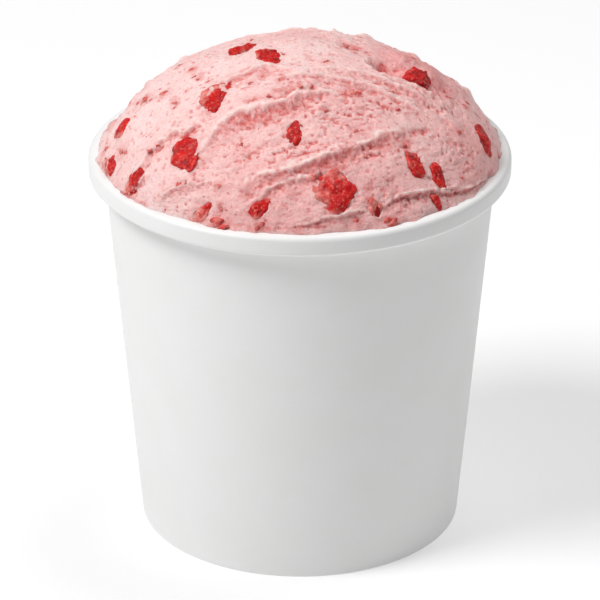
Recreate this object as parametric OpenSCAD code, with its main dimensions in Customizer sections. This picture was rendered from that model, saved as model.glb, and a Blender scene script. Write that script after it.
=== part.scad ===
// Pint tub of strawberry ice cream: a tapered paper cup with a rolled rim, filled and
// mounded well above the rim, with pieces of strawberry set into the mound.
// Millimetres, +Z up, origin on the ground at the centre of the foot.

/* [Cup] */
// Outside diameter over the rolled rim
rim_d = 98; // [85:0.5:120]
// Height from the ground to the top of the rim
cup_h = 92; // [70:0.5:125]
// Outside diameter of the wall at the ground
foot_d = 75.2; // [60:0.2:84]
// Thickness of the paper wall
wall_t = 0.5; // [0.4:0.05:1]

/* [Rolled rim] */
// How far the rolled rim stands out from the wall
rim_overhang = 3.2; // [2.4:0.1:4.5]
// Height of the rolled rim
rim_h = 4.7; // [3.8:0.1:6.5]
// Rounding of the rim's two top edges
rim_top_r = 1.25; // [0.6:0.05:1.6]
// Rounding of the rim's lower outside edge
rim_low_r = 1; // [0.5:0.05:1.5]

/* [Base] */
// Height of the hollow under the base
base_lift = 3.6; // [2.5:0.1:8]
// Thickness of the base disc
base_t = 0.6; // [0.4:0.05:1.2]
// Thickness of the folded foot ring under the base
foot_t = 1.5; // [1:0.1:2.5]
// Gap between the base disc and the wall
base_gap = 0.02; // [0.01:0.01:0.1]

/* [Ice cream] */
// Height of the mound above the rim
mound_h = 25.4; // [16:0.2:34]
// How far the ice cream spreads out over the rim's inner edge
rim_seat = 1; // [0.3:0.05:1.1]
// Gap between the ice cream and the cup
fill_gap = 0.05; // [0.03:0.01:0.1]
// Height of the spatula folds, as a multiple of the usual height
fold_depth = 1; // [0.3:0.05:1.2]

/* [Strawberry pieces] */
// Size of the pieces, as a multiple of the usual size
piece_size = 1; // [0.7:0.05:1.2]
// Gap between a piece and the ice cream round it
piece_gap = 0.02; // [0.01:0.01:0.05]

/* [Hidden] */

rim_r = rim_d / 2;
foot_r = foot_d / 2;
wall_top_r = rim_r - rim_overhang;
shoulder_z = cup_h - rim_top_r;
base_top = base_lift + base_t;
eps = 0.001;

// Outside and inside radius of the tapered wall at height z
function wall_out(z) = foot_r + (wall_top_r - foot_r) * z / cup_h;
function wall_in(z) = wall_out(z) - wall_t;

// The ice cream's edge lies on the rim's rounded inner shoulder
shoulder_x = wall_in(shoulder_z) + rim_top_r;
edge_r = wall_in(shoulder_z) + rim_seat;
edge_angle = acos((edge_r - shoulder_x) / (rim_top_r + fill_gap));
edge_z = shoulder_z + (rim_top_r + fill_gap) * sin(edge_angle);

// Places on the mound are given on a flat map: the top is [0, 0], the edge is the
// circle of radius 100, +Y is the back. A place's distance from the middle is its
// share of the quarter turn from the top down to the edge.
round_power = 1.95;
round_share = 0.686;

// Radius and height of the smooth mound at share t of the way to the edge
function mound_r(t) = edge_r * sin(90 * t);
function mound_rise(t) = pow(max(0, 1 - pow(sin(90 * t), round_power)), round_share);
function mound_z(t) = edge_z + mound_h * mound_rise(t);

// Outward direction of the smooth mound at share t, as [radial, up]
function lean(t) = let (v = [mound_h * sin(90 * t), edge_r * cos(90 * t)]) v / norm(v);

// Point at height h above the smooth mound at map place m
function on_mound(m, h) =
    let (t = norm(m) / 100, a = atan2(m[1], m[0]), n = lean(t))
    let (r = mound_r(t) + h * n[0])
    [r * cos(a), r * sin(a), mound_z(t) + h * n[1]];

// Spatula folds. Each is [rise, drop, width above, width below, line on the map].
// The crest runs along the line, and the step down lies on the right-hand side of it.
FOLDS = [
    [0.9, 1.5, 7, 5, [[-42, -52], [-33, -43], [-24, -36], [-15, -32], [-5, -31], [2, -25], [12, -25]]],
    [1.1, 1.6, 8, 6, [[-14, -62], [-3, -58], [11, -50], [22, -44], [33, -36], [44, -30]]],
    [0.4, 0.7, 4, 4, [[-24, -78], [-13, -71], [0, -65], [12, -61]]],
    [0.5, 0.8, 4, 3, [[-4, -91], [6, -89], [14, -85], [22, -80]]],
    [0.6, 0.8, 5, 4, [[36, -73], [43, -67], [54, -62], [67, -55]]],
    [0.7, 1.4, 7, 6, [[53, -11], [44, -9], [34, -8], [25, -8], [20, 0]]],
    [0.4, 0.6, 5, 4, [[-8, -19], [6, -18], [22, -19], [38, -24]]],
    [0.5, 0.8, 5, 4, [[-72, -46], [-60, -37], [-48, -32], [-36, -35]]],
    [0.5, 0.8, 5, 4, [[-88, -46], [-76, -50], [-62, -49]]],
    [0.4, 0.6, 5, 4, [[-60, -66], [-48, -60], [-36, -59]]],
    [0.8, 1.3, 7, 6, [[60, 46], [44, 52], [20, 56], [-4, 52], [-24, 46]]],
    [1.0, 1.5, 8, 6, [[30, 74], [8, 72], [-18, 66], [-42, 52], [-58, 34]]],
    [0.6, 0.9, 5, 4, [[-30, 84], [-52, 70], [-68, 50]]],
    [0.6, 0.9, 5, 4, [[84, 20], [76, 42], [60, 60], [44, 70]]],
    [0.5, 0.8, 6, 5, [[46, 30], [26, 36], [4, 34], [-18, 26]]]
];

// Hollows and swellings. Each is [map x, map y, spread, height].
SWELLS = [
    [30, -3, 6, -1.2], [18, 8, 5, -0.9], [38, -4, 5, -0.5], [58, 26, 16, 0.5], [40, 12, 9, 0.8],
    [70, -25, 14, 0.7], [-78, -5, 16, -0.7], [-12, -28, 8, 0.5], [-20, 24, 16, -0.8], [-86, 20, 16, -2.2],
    [-14, -50, 12, -0.6], [14, -36, 12, -0.5], [-30, 58, 14, 0.7], [20, 34, 12, -0.5], [-62, -60, 12, 0.4],
    [66, 62, 12, -0.5], [-60, 66, 12, 0.4]
];

// Fine parallel drag marks. Each is [map x, map y, spread, direction, spacing, height].
DRAGS = [
    [4, -40, 18, 24, 5, 0.22], [-10, -54, 16, 6, 4.5, 0.22], [24, -20, 18, 12, 6, 0.2],
    [-60, -20, 18, 42, 8, 0.2], [64, -40, 16, 38, 7, 0.2], [10, -82, 16, 20, 6, 0.18],
    [-10, 40, 22, -20, 6, 0.22], [46, 46, 20, -50, 7, 0.22], [-54, 30, 20, 50, 7, 0.22]
];

// Share along a-b of the place nearest to p, and the distance left over
function share_on(p, a, b) = max(0, min(1, (p - a) * (b - a) / ((b - a) * (b - a))));
function left_over(p, a, b) = p - a - share_on(p, a, b) * (b - a);

// Height of one fold at map place p
function fold_at(p, f) =
    let (line = f[4], n = len(line) - 1)
    let (far = [for (i = [0:n - 1]) norm(left_over(p, line[i], line[i + 1]))])
    let (d = min(far), i = search(d, far)[0], a = line[i], b = line[i + 1])
    let (side = (b - a)[0] * (p - a)[1] - (b - a)[1] * (p - a)[0])
    let (along = (i + share_on(p, a, b)) / n, fade = pow(max(0, sin(180 * along)), 0.5))
    d > 4 * max(f[2], f[3]) ? 0 :
    side > 0 ? fade * f[0] * exp(-pow(d / f[2], 2)) :
    fade * (f[0] * exp(-pow(2.5 * d / f[3], 2)) - f[1] * d / f[3] * exp(1 - d / f[3]));

function swell_at(p, s) = s[3] * exp(-pow(norm(p - [s[0], s[1]]) / s[2], 2));
function drag_at(p, g) =
    let (q = p - [g[0], g[1]], across = q[1] * cos(g[3]) - q[0] * sin(g[3]))
    g[5] * sin(360 * across / g[4]) * exp(-pow(norm(q) / g[2], 2));
function sum(v) = v * [for (x = v) 1];

// Height of the real surface above the smooth mound, fading out at the rim
edge_hold = 12;
function relief(m) =
    let (t = norm(m) / 100)
    let (folds = sum([for (f = FOLDS) fold_at(m, f)]))
    let (swells = sum([for (s = SWELLS) swell_at(m, s)]))
    let (drags = sum([for (g = DRAGS) drag_at(m, g)]))
    (1 - pow(t, edge_hold)) * (fold_depth * (folds + drags) + swells);

// Strawberry pieces. Each is [map x, map y, length, width, thickness, turn, sunk].
// Length runs along the turn's direction, and sunk is the share of the thickness that
// lies below the surface of the mound.
PIECES = [
    [-17, 7, 8.6, 7, 4.6, 70, 0.74],
    [-10, -4, 8.6, 5.2, 4, -65, 0.74],
    [-28, -22, 8.8, 5.6, 4.2, 60, 0.76],
    [-42, -46, 9.2, 7.8, 5, 70, 0.72],
    [-2, -44, 5.4, 3.6, 3, 85, 0.74],
    [13, -69, 10.4, 9.2, 5.6, -60, 0.72],
    [-17, -79, 6, 5, 3.6, 30, 0.78],
    [43, -50, 7.6, 4, 3.6, -50, 0.74],
    [54, -51, 7, 3.8, 3.6, -48, 0.76],
    [75, -16, 7.6, 5.6, 4.2, -75, 0.76],
    [38, -2, 8.4, 6.2, 4.6, 65, 0.76],
    [59, -66, 4.6, 2.8, 2.8, -30, 0.78],
    [32, -78, 5.2, 3.2, 2.8, -55, 0.78],
    [-43, -77, 5.6, 3.2, 2.8, 30, 0.8],
    [-70, -10, 8.2, 5.6, 4.2, 60, 0.78],
    [-84, -25, 6.6, 4.8, 3.8, 75, 0.86],
    [-71, -47, 7, 3.6, 3.2, 10, 0.8],
    [14, 57, 8.4, 6, 4.6, 20, 0.76],
    [-40, 57, 9, 6.6, 4.8, -30, 0.74],
    [-12, 64, 7.4, 5.2, 4, 60, 0.76],
    [2, 81, 7.6, 5.2, 4, 10, 0.82],
    [48, 58, 9, 6.4, 4.8, 110, 0.74],
    [31, 75, 7, 4.6, 3.8, -35, 0.8],
    [70, 44, 6.6, 5, 3.8, 80, 0.84],
    [-68, 48, 8, 5.6, 4.2, 130, 0.78],
    [-44, 70, 6, 4.2, 3.4, 35, 0.86]
];

// Name of piece k: strawberry_01, strawberry_02 and on
function piece_name(k) = str("strawberry_", k < 9 ? "0" : "", k + 1);

// Unevenness of a piece's cut surface, and how many corners it has
piece_unevenness = 0.16;
piece_rings = 4;
piece_corners = 7;

// Map place of piece k, held back from the edge by as much as its size needs
edge_power = 0.73;
edge_steepness = 1.9;
function piece_place(k) =
    let (s = PIECES[k], m = [s[0], s[1]], half = piece_size * max(s[2], s[3]) / 2)
    m * min(1, 100 * (1 - pow(half / (edge_steepness * mound_h), edge_power)) / norm(m));

// Corners of piece k about its own middle, standing grow further out
function piece_corner(k, ring, i, grow) =
    let (s = PIECES[k], jolt = rands(-1, 1, piece_rings * piece_corners, 40 + k))
    let (up = -90 + 180 * (ring + 1) / (piece_rings + 1), round = 360 * (i + 0.5 * (ring % 2)) / piece_corners)
    let (dir = [cos(up) * cos(round), cos(up) * sin(round), sin(up)])
    let (swing = 1 + piece_unevenness * jolt[ring * piece_corners + i])
    [for (j = [0:2]) dir[j] * (piece_size * swing * s[2 + j] / 2 + grow)];

function piece_points(k, grow) = concat(
    [[0, 0, -piece_size * PIECES[k][4] / 2 * 0.9 - grow]],
    [for (ring = [0:piece_rings - 1], i = [0:piece_corners - 1]) piece_corner(k, ring, i, grow)],
    [[0, 0, piece_size * PIECES[k][4] / 2 * 0.9 + grow]]
);

// Faces of a ball of points: a first point, rings of count points, and a last point.
// Every face runs clockwise as seen from outside.
function ball_faces(rings, count) = concat(
    [for (i = [0:count - 1]) [0, 1 + i, 1 + (i + 1) % count]],
    [for (g = [0:rings - 2], i = [0:count - 1]) let (a = 1 + g * count, j = (i + 1) % count)
        each [[a + i, a + count + i, a + j], [a + j, a + count + i, a + count + j]]],
    [for (i = [0:count - 1]) let (a = 1 + (rings - 1) * count)
        [a + i, 1 + rings * count, a + (i + 1) % count]]
);

// Piece k at its place, lying along the surface of the mound
module piece(k, grow = 0) {
    s = PIECES[k];
    m = piece_place(k);
    n = lean(norm(m) / 100);
    depth = (s[6] - 0.5) * s[4] * piece_size;
    translate(on_mound(m, relief(m) - depth))
        rotate([0, acos(n[1]), atan2(m[1], m[0])])
            rotate([0, 0, s[5] - atan2(m[1], m[0])])
                hull() polyhedron(piece_points(k, grow), ball_faces(piece_rings, piece_corners));
}

// Half section of the rolled rim, with exact rounded edges
module rim_section() {
    left = wall_in(shoulder_z);
    low = cup_h - rim_h;
    translate([left, low + rim_low_r])
        square([rim_r - left, rim_h - rim_low_r - rim_top_r]);
    translate([left, low])
        square([rim_r - rim_low_r - left, rim_low_r + eps]);
    translate([left + rim_top_r, shoulder_z - eps])
        square([rim_r - left - 2 * rim_top_r, rim_top_r + eps]);
    translate([left + rim_top_r, shoulder_z])
        circle(r = rim_top_r, $fn = 48);
    translate([rim_r - rim_top_r, shoulder_z])
        circle(r = rim_top_r, $fn = 48);
    translate([rim_r - rim_low_r, low + rim_low_r])
        circle(r = rim_low_r, $fn = 48);
}

// Half section of the wall, with the folded foot ring at its lower end
module wall_section() {
    polygon([
        [foot_r, 0],
        [wall_out(shoulder_z), shoulder_z],
        [wall_in(shoulder_z), shoulder_z],
        [wall_in(base_lift), base_lift],
        [wall_out(base_lift) - foot_t, base_lift],
        [foot_r - foot_t, 0]
    ]);
}

module cup_wall() {
    color("whitesmoke") rotate_extrude($fn = 180) {
        wall_section();
        rim_section();
    }
}

// Disc that closes the cup, lying on the foot ring's ledge
module cup_base() {
    color("white") translate([0, 0, base_lift])
        cylinder(h = base_t, r1 = wall_in(base_lift) - base_gap, r2 = wall_in(base_top) - base_gap, $fn = 180);
}

// Rings of the ice cream, from the base up the wall, over the shoulder and up the mound
mound_rings = 30;
mound_count = 84;
shoulder_steps = 3;
side_rings = concat(
    [[wall_in(base_top) - fill_gap, base_top], [wall_in(shoulder_z) - fill_gap, shoulder_z]],
    [for (i = [1:shoulder_steps - 1]) let (a = 180 + (edge_angle - 180) * i / shoulder_steps)
        [shoulder_x + (rim_top_r + fill_gap) * cos(a), shoulder_z + (rim_top_r + fill_gap) * sin(a)]]
);

module ice_cream_body() {
    turn = 360 / mound_count;
    sides = [for (q = side_rings, i = [0:mound_count - 1]) [q[0] * cos(turn * i), q[0] * sin(turn * i), q[1]]];
    mound = [for (g = [0:mound_rings - 1], i = [0:mound_count - 1])
        let (far = 100 * (1 - g / mound_rings), m = far * [cos(turn * i), sin(turn * i)])
        on_mound(m, relief(m))];
    points = concat([[0, 0, base_top]], sides, mound, [on_mound([0, 0], relief([0, 0]))]);
    polyhedron(points, ball_faces(len(side_rings) + mound_rings, mound_count));
}

module ice_cream() {
    color("pink") difference() {
        ice_cream_body();
        for (k = [0:len(PIECES) - 1]) piece(k, piece_gap);
    }
}

module strawberry(k) {
    color("firebrick") piece(k);
}

cup_wall();
cup_base();
ice_cream();
for (k = [0:len(PIECES) - 1])
    strawberry(k);
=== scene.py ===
"""Strawberry ice cream mounded in a white paper pint tub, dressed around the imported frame.

Lengths are in millimetres until a mesh is made. Places on the mound are given on a flat
map: the top is (0, 0), the edge is the circle of radius 100, +y is the back, and the
distance from the middle is the share of the quarter turn from the top down to the edge.
In the functions m are map places, w the same places shifted by noise, p the points of the
smooth mound there, n its outward directions and t the shares of the way to the edge.
"""
import math

import bmesh
import bpy
import numpy as np
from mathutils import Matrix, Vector
from mathutils.kdtree import KDTree


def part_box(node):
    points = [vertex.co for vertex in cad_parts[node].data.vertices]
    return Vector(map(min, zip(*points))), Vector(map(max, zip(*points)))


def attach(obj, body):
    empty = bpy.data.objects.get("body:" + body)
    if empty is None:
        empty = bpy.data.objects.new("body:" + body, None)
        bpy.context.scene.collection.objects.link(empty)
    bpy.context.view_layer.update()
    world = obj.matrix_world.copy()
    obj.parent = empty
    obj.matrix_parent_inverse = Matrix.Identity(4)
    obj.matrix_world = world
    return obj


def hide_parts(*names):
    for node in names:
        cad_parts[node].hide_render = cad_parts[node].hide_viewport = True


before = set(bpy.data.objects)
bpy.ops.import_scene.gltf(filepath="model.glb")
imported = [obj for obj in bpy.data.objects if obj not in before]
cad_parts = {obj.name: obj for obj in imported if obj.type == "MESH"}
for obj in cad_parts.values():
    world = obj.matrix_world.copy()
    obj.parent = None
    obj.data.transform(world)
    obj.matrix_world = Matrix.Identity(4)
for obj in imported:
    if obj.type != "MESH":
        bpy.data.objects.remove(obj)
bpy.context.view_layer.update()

MM = 0.001

# ---- sizes from the frame

_, cup_high = (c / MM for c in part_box("cup_wall"))
_, fill_high = (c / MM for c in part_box("ice_cream"))
base_low, base_high = (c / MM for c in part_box("cup_base"))

# The cup's rim and foot, and the two faces of its base
RIM_R = cup_high.x
RIM_TOP = cup_high.z
FOOT_R = 37.6
BASE_LIFT = base_low.z
FLOOR_Z = base_high.z

# The rolled rim: how far it stands out, its height, and its upper and lower rounding
RIM_OVERHANG = 3.2
RIM_H = 4.7
RIM_TOP_R = 1.25
RIM_LOW_R = 1.0

# Thickness of the wall and of the foot ring
WALL_T = 0.5
FOOT_T = 1.5

# The mound's edge, its height, the two numbers that shape its profile, and its mesh rings
EDGE_R = fill_high.x
EDGE_Z = RIM_TOP + 0.03
MOUND_H = 25.4
ROUND_POWER = 1.95
ROUND_SHARE = 0.686
MOUND_RINGS = 168


def wall_out(z):
    """Outside radius of the tapered wall at height z."""
    return FOOT_R + (RIM_R - RIM_OVERHANG - FOOT_R) * z / RIM_TOP


def wall_in(z):
    """Inside radius of the tapered wall at height z."""
    return wall_out(z) - WALL_T


# ---- noise

def lattice(i, seed):
    """A steady random number from -1 to 1 for each row of whole numbers."""
    h = i[:, 0].astype(np.uint32) * np.uint32(374761393)
    h = h + i[:, 1].astype(np.uint32) * np.uint32(668265263)
    h = h + i[:, 2].astype(np.uint32) * np.uint32(2246822519)
    h = h + np.uint32((seed * 3266489917) % 2**32)
    h = (h ^ (h >> np.uint32(15))) * np.uint32(2246822519)
    h = (h ^ (h >> np.uint32(13))) * np.uint32(3266489917)
    h = h ^ (h >> np.uint32(16))
    return h.astype(np.float64) / 2**31 - 1


def noise(p, cell, seed=0):
    """Smooth noise from -1 to 1 at points p, with blobs about one cell across.

    Each use has a seed of its own, so that no two patterns are alike.
    """
    q = p / np.asarray(cell, float)
    low = np.floor(q).astype(np.int64)
    f = q - low
    f = f * f * f * (f * (f * 6 - 15) + 10)
    total = 0
    for corner in range(8):
        bits = np.array([corner & 1, corner >> 1 & 1, corner >> 2 & 1])
        weight = np.prod(np.where(bits, f, 1 - f), axis=1)
        total = total + weight * lattice(low + bits, seed)
    return total * 1.4


def cloud(p, cell, octaves, seed=0, gain=0.5):
    """Several octaves of noise, each half as large and gain times as strong."""
    total, weight = 0, 1
    for k in range(octaves):
        total = total + weight * noise(p + 17.3 * k, np.asarray(cell, float) / 2**k, seed + k)
        weight *= gain
    return total


def smooth(low, high, x):
    """0 below low, 1 above high, and a smooth turn between."""
    t = np.clip((x - low) / (high - low), 0, 1)
    return t * t * (3 - 2 * t)


def bell(x):
    """1 at 0, falling away smoothly on both sides."""
    return np.exp(-x * x)


# ---- the smooth mound

def on_map(m):
    """Smooth mound: points, outward directions, and share of the way to the edge."""
    t = np.minimum(np.hypot(m[:, 0], m[:, 1]) / 100, 1)
    a = np.arctan2(m[:, 1], m[:, 0])
    turn = t * np.pi / 2
    r = EDGE_R * np.sin(turn)
    rise = np.maximum(0, 1 - np.sin(turn) ** ROUND_POWER) ** ROUND_SHARE
    out, up = MOUND_H * np.sin(turn), EDGE_R * np.cos(turn)
    size = np.hypot(out, up)
    p = np.stack([r * np.cos(a), r * np.sin(a), EDGE_Z + MOUND_H * rise], 1)
    n = np.stack([out / size * np.cos(a), out / size * np.sin(a), up / size], 1)
    return p, n, t


# Spatula folds: rise, drop, width above, width below, raggedness, line on the map. The
# crest runs along the line, and the step down lies on the right-hand side of it.
FOLDS = [
    (0.66, 0.4, 8, 3.4, 1.1,
     [(-44, -57), (-37, -47.5), (-31, -42), (-25, -37.5), (-20, -34.5), (-14, -33.5), (-8, -33),
      (-4, -31.5), (-1, -28), (4, -25.5), (8, -24.5), (13, -27.5)]),
    (0.72, 0.38, 9, 3.8, 1.1,
     [(-24, -67.5), (-18, -65.5), (-10, -62.5), (-4, -61), (3, -58.5), (11, -54), (20, -48.5),
      (27, -43), (33, -38), (39, -33.5)]),
    (0.3, 0.3, 3.5, 2.6, 1.2, [(-26, -80), (-17, -74), (-10, -69.5), (0, -65), (12, -60)]),
    (0.35, 0.35, 5, 2.2, 1.2, [(-5, -91.5), (6, -89), (13, -85), (20, -81), (28, -78)]),
    (0.4, 0.35, 5, 2.6, 1.8, [(33, -76), (38, -70), (43, -67), (52, -62), (60, -58), (70, -53)]),
    (0.35, 0.9, 6, 3.4, 1.0,
     [(52, -13), (46, -11.5), (41, -11), (36, -10.5), (31, -10), (26, -9.5), (22, -5), (21, 2)]),
    (0.3, 0.3, 6, 2, 0.8, [(-9, -19), (0, -17.5), (10, -17), (22, -18), (34, -22), (42, -26)]),
    (0.25, 0.25, 6, 2, 0.8, [(6, -13), (20, -12), (34, -14), (48, -18), (58, -24)]),
    (0.45, 0.5, 6, 2.4, 1.3,
     [(-72, -45), (-60, -37), (-52, -35), (-46, -32), (-40, -36), (-33, -34)]),
    (0.5, 0.5, 5, 2.2, 1.0, [(-90, -46), (-80, -51), (-70, -48), (-60, -47)]),
    (0.3, 0.3, 5, 2.2, 1.0, [(-62, -66), (-52, -60), (-42, -59), (-32, -63)]),
    (0.35, 0.35, 5, 2, 1.0, [(-30, -20), (-22, -14), (-12, -12), (-2, -13)]),
    (0.4, 0.4, 5, 2, 1.0, [(56, -62), (66, -57), (78, -48), (86, -38)]),
    (0.7, 0.8, 8, 3, 1.0, [(60, 46), (44, 52), (20, 56), (-4, 52), (-24, 46)]),
    (0.9, 0.9, 9, 3.2, 1.0, [(30, 74), (8, 72), (-18, 66), (-42, 52), (-58, 34)]),
    (0.5, 0.6, 6, 2.6, 1.0, [(-30, 84), (-52, 70), (-68, 50)]),
    (0.5, 0.6, 6, 2.6, 1.0, [(84, 20), (76, 42), (60, 60), (44, 70)]),
    (0.45, 0.5, 7, 2.6, 1.0, [(46, 30), (26, 36), (4, 34), (-18, 26)]),
    (0.4, 0.4, 5, 2.2, 1.0, [(58, 76), (36, 86), (8, 92), (-20, 92)]),
]

# Narrow cracks: depth, width, line on the map
CRACKS = [
    (1.0, 1.2, [(-19, -30), (-10, -30), (-5, -29), (-2, -25.5), (4, -23), (10, -21.5)]),
    (0.45, 0.9, [(14, -24), (20, -25), (26, -26), (33, -28)]),
    (0.5, 1.0, [(-59, -37.5), (-53, -36.5), (-49, -34), (-47, -30)]),
    (0.45, 0.9, [(-46, -33), (-42, -37), (-38, -36), (-35, -34)]),
    (0.4, 1.0, [(-53, -60.5), (-46, -60), (-40, -59.5), (-34, -63)]),
    (0.3, 0.8, [(1, -4), (3, -6), (5, -8)]),
    (0.5, 1.0, [(23, -52), (27, -50.5), (31, -50.5)]),
    (0.7, 1.3, [(-88, -55), (-80, -53), (-74, -53)]),
    (0.4, 0.9, [(-76, -21), (-73, -26), (-69, -29.5)]),
    (0.4, 1.0, [(37, -37), (42, -34), (46, -31)]),
    (0.4, 1.2, [(-3, -93), (6, -93), (14, -92)]),
    (0.5, 1.0, [(-22, 40), (-10, 46), (6, 47)]),
    (0.5, 1.0, [(58, 56), (48, 63), (36, 66)]),
    (0.5, 1.0, [(-70, 26), (-60, 40), (-50, 50)]),
]

# Hollows and swellings: map x, map y, spread, height
SWELLS = [
    (29, -3, 3.8, -2.2), (18, 8, 5, -1.0), (38, -4, 4, -0.7), (33, 7, 5, 0.7), (45, 4, 4.5, 0.7),
    (58, 26, 16, 0.5), (40, 12, 9, 0.8), (70, -25, 14, 0.7), (-78, -5, 16, -0.3),
    (-12, -28, 8, 0.5), (-20, 24, 16, -0.8), (-86, 20, 16, -2.2), (-14, -50, 12, -0.6),
    (14, -36, 12, -0.5), (-30, 58, 14, 0.7), (20, 34, 12, -0.5), (-62, -60, 12, 0.4),
    (-54, 36, 12, -1.4), (-6, 46, 9, -0.9), (52, 35, 8, -1.5), (66, 62, 12, -0.5),
    (-60, 66, 12, 0.4),
]

# Drag marks: map x, map y, long and short spread, direction in degrees, spacing, height
DRAGS = [
    (2, -42, 30, 9, 14, 2.6, 0.11), (-8, -54, 26, 6, 6, 2.2, 0.1), (26, -22, 30, 10, 10, 2.8, 0.1),
    (-62, -18, 20, 14, 48, 3.4, 0.07), (62, -38, 18, 16, 32, 3.2, 0.08),
    (8, -80, 24, 10, 16, 2.8, 0.08), (-50, -70, 22, 10, -22, 2.8, 0.09),
    (10, -2, 26, 12, 4, 3.4, 0.06), (-10, 40, 26, 16, -20, 3, 0.1), (46, 46, 22, 18, -50, 3.2, 0.1),
    (-54, 30, 22, 18, 50, 3.2, 0.1), (0, 78, 34, 12, 0, 3, 0.09),
]

# Rough, porous ground: map x, map y, long and short spread, direction, strength
ROUGH = [
    (-6, -52, 28, 8, 8, 1.0), (20, -33, 24, 8, 22, 0.9), (10, -60, 32, 5, 27, 0.9),
    (30, -20, 28, 7, 10, 0.8), (56, -68, 22, 7, 30, 0.9), (62, -38, 14, 10, 0, 0.55),
    (-4, -90, 24, 6, 4, 0.5), (-58, -70, 22, 9, -30, 0.5), (-40, -35, 14, 5, 10, 0.6),
    (38, -5, 16, 6, -6, 0.6), (-22, -20, 12, 8, 20, 0.4), (80, 10, 14, 30, 0, 0.6),
    (-4, 50, 30, 9, -6, 0.8), (44, 56, 18, 10, -30, 0.9), (-46, 54, 20, 9, 40, 0.9),
    (10, 84, 40, 8, 0, 0.7), (-78, 30, 12, 20, 20, 0.6),
]

# Pinker patches, partly juice round scraps of fruit and partly painted shade in hollows, under folds and
# on shaded slopes: map x, map y, long and short spread, direction, strength
PINK_AND_SHADE_PATCHES = [
    (-13, -36.5, 12, 3.4, 10, 0.9), (-2, -35, 5, 4, 0, 0.5), (17, -24, 5.5, 2.6, 15, 0.9),
    (-12, -17, 4, 2, 20, 0.7), (-28, -24, 7, 5, 60, 0.4), (27, -3, 3, 5.5, 0, 1.0),
    (37, -5, 9, 3.2, -6, 0.9), (17, 8, 4, 4, 0, 0.8), (-4, -24, 6, 3, 30, 0.7),
    (36, 8, 8, 5, 0, 0.35), (48, 2, 9, 5, -20, 0.45), (42, 18, 9, 5, -20, 0.35),
    (8, -58, 14, 2.6, 28, 0.6), (-14, -68, 12, 2.4, 28, 0.45), (22, -47.5, 14, 2.6, 27, 0.6),
    (-46, -79, 7, 3.4, 30, 0.7), (-38, -90, 3, 4.5, 0, 1.0), (-70, -47, 9, 2.6, 10, 0.7),
    (-82, -53.5, 7, 2.2, 15, 1.0), (-91, -28, 3.5, 8, 0, 1.0), (-52, -60, 5, 1.4, 0, 0.6),
    (-31, -65, 1.5, 1.4, 0, 0.8), (59, -25, 1.6, 2, 0, 0.9), (5, -92, 9, 1.8, 8, 0.7),
    (42, -87, 3, 5, -30, 0.9), (25, -86, 1.4, 2, 0, 0.8), (-47, -8, 1.6, 3, 0, 0.8),
    (-56, -3, 2.6, 4, 0, 0.8), (-43, -17, 1.6, 3, 0, 0.6), (37, -42, 2, 3.6, 0, 0.8),
    (8, -34, 1.4, 1.6, 0, 0.8), (-6, -18, 1.4, 2.2, 0, 1.0), (-18, -92, 4, 1.8, 0, 0.7),
    (-21, -47.5, 1.4, 1, 0, 0.9), (-20, -13, 8, 2, 10, 0.4), (14, -58, 8, 3, 30, 0.6),
    (-33, -7, 1.4, 3, 0, 0.6), (76, -50, 10, 3, 20, 0.4), (88, -32, 3, 8, 0, 0.6),
    (50, -84, 8, 2, 28, 0.4), (0, 48, 14, 3, -6, 0.7), (-40, 57, 12, 3, 36, 0.7),
    (46, 58, 10, 3, -40, 0.6), (-66, 52, 8, 2.4, 50, 0.6), (66, 50, 6, 3, -50, 0.6),
    (10, 70, 12, 2.6, 4, 0.6), (24, 86, 6, 3, -10, 0.7), (-20, 88, 8, 2.4, 12, 0.6),
]

# Small knobs and steps that stand out along the skyline: map x, map y, spread, height
KNOBS = [
    (22, 35, 2.6, 1.3), (36, 32, 9, -0.7), (40, 31, 3, 0.7), (43, 24, 2.6, -1.0),
    (15, 9, 3.4, -0.6), (60, 28, 3, 0.5), (-44, 37, 3, 0.7), (-60, 31, 3, 0.9), (-72, 16, 12, -0.5),
    (-54, 33, 2.5, 0.4), (-13, 45, 3, 0.4), (6, 46, 3, 0.45), (66, 26, 3, 0.7), (4, -37, 2, 0.5),
    (7, -33, 2.4, 0.7), (-78, 18, 3, 0.6), (78, 12, 4, 0.5), (33, 7, 5, 0.8), (46, 4, 4, 0.5),
]

# Where the ice cream is painted deeper pink, mostly as painted shade on the front and right of the mound,
# which lie away from the key lamp, and partly as colour that differs from place to place: map x, map y,
# spread, strength
SHADE_AND_TONES = [
    (75, -20, 52, 0.8), (25, -62, 40, 0.85), (-12, -85, 36, 0.85), (44, 8, 26, 1.3),
    (-8, -37, 14, 0.35), (18, -28, 17, 0.6), (0, 18, 22, 0.35), (-78, 38, 32, 0.5),
    (8, 74, 36, 0.6),
]

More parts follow.
